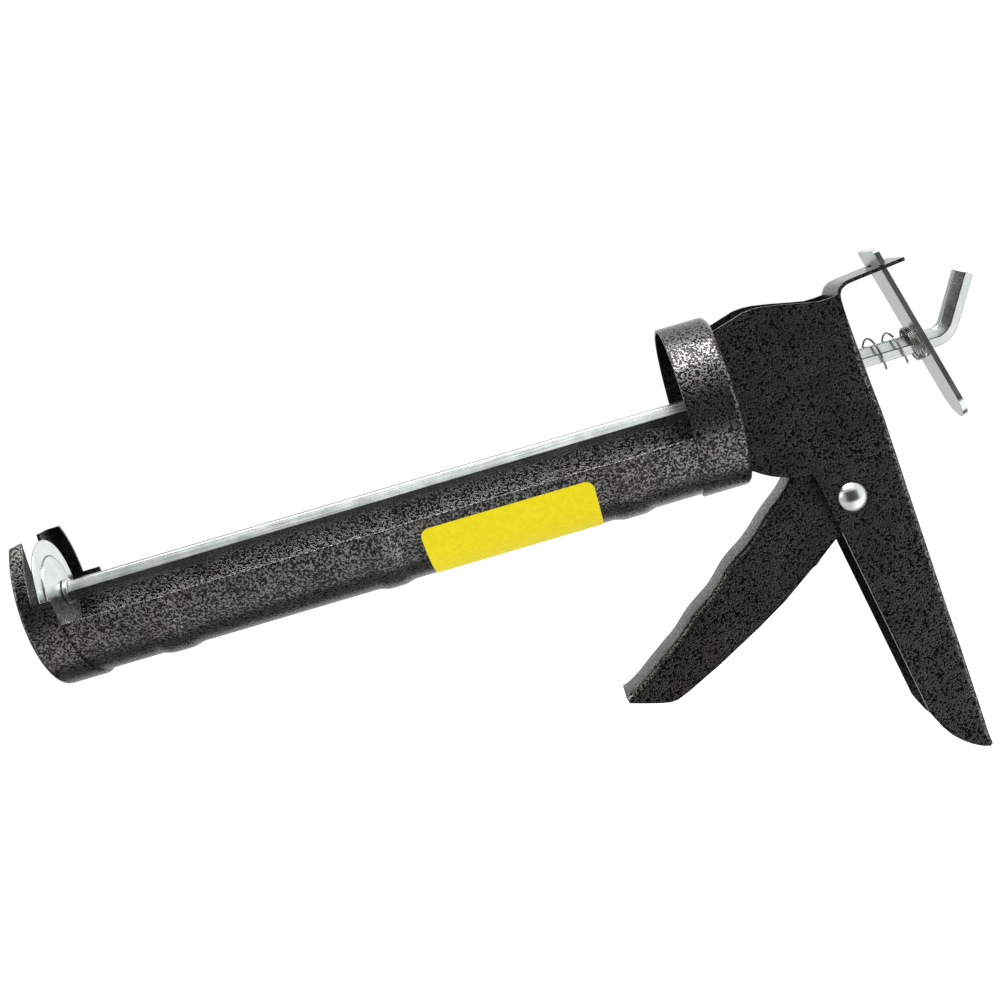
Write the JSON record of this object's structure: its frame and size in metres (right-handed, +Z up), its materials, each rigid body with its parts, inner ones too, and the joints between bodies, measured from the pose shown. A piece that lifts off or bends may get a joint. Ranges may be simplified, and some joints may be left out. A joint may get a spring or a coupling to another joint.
{
  "type": "caulking gun",
  "caption": "Half-barrel caulking gun with a hooked ratchet push rod, pressed plunger, squeeze trigger, folded sheet handle and sprung release lever.",
  "frame": {"origin": "on the rod axis, in the outer face of the front cap", "axes": "+X runs back along the rod to the handle, +Z up, the labelled side faces -Y"},
  "size_m": [0.3174, 0.0564, 0.1673],
  "materials": {
    "hammered_paint": "black hammertone enamel",
    "zinc_plate": "bright zinc plate",
    "plain_steel": "plain bright steel",
    "spring_steel": "bright spring wire",
    "yellow_label": "glossy printed sticker"
  },
  "bodies": {
    "gun_frame": {"cradle": "hammered_paint", "front_cap": "hammered_paint", "rear_cup": "hammered_paint", "cup_rivets": "plain_steel", "handle_frame": "hammered_paint", "barrel_label": "yellow_label", "trigger_pivot_rivet": "zinc_plate", "pivot_spacer": "plain_steel", "pivot_washers": "plain_steel", "trigger_return_spring": "spring_steel", "release_spring": "spring_steel"},
    "trigger": {"trigger_lever": "hammered_paint", "pawl_pin": "zinc_plate", "pawl_spring": "spring_steel"},
    "pawl": {"drive_pawl": "plain_steel"},
    "plunger": {"plunger_disc": "zinc_plate", "plunger_dome": "zinc_plate", "plunger_washer": "zinc_plate"},
    "rod": {"push_rod": "zinc_plate", "plunger_collar": "zinc_plate"},
    "lever": {"release_lever": "zinc_plate"}
  },
  "joints": [
    {"name": "trigger_squeeze", "type": "hinge", "parent": "gun_frame", "child": "trigger", "pos_m": [0.2585, 0, -0.041], "axis": [0, -1, 0], "range_deg": [0, 30], "stiffness_Nm_per_rad": 0.15, "springref_deg": -28.65},
    {"name": "pawl_tilt", "type": "hinge", "parent": "trigger", "child": "pawl", "pos_m": [0.2635, 0, -0.0124], "axis": [0, -1, 0], "range_deg": [-30, 0]},
    {"name": "plunger_slide", "type": "slide", "parent": "gun_frame", "child": "plunger", "axis": [1, 0, 0], "range_m": [0, 0.215]},
    {"name": "rod_turn", "type": "hinge", "parent": "plunger", "child": "rod", "pos_m": [0.005, 0, 0], "axis": [1, 0, 0], "range_deg": [0, 180]},
    {"name": "release_press", "type": "hinge", "parent": "gun_frame", "child": "lever", "pos_m": [0.2877, 0, 0.0279], "axis": [0, 1, 0], "range_deg": [0, 8], "stiffness_Nm_per_rad": 0.05, "springref_deg": -17.19, "deforming": ["release_spring"]}
  ],
  "couplings": [
    {"joint": "pawl_tilt", "follows": "trigger_squeeze", "ratio": -1}
  ]
}
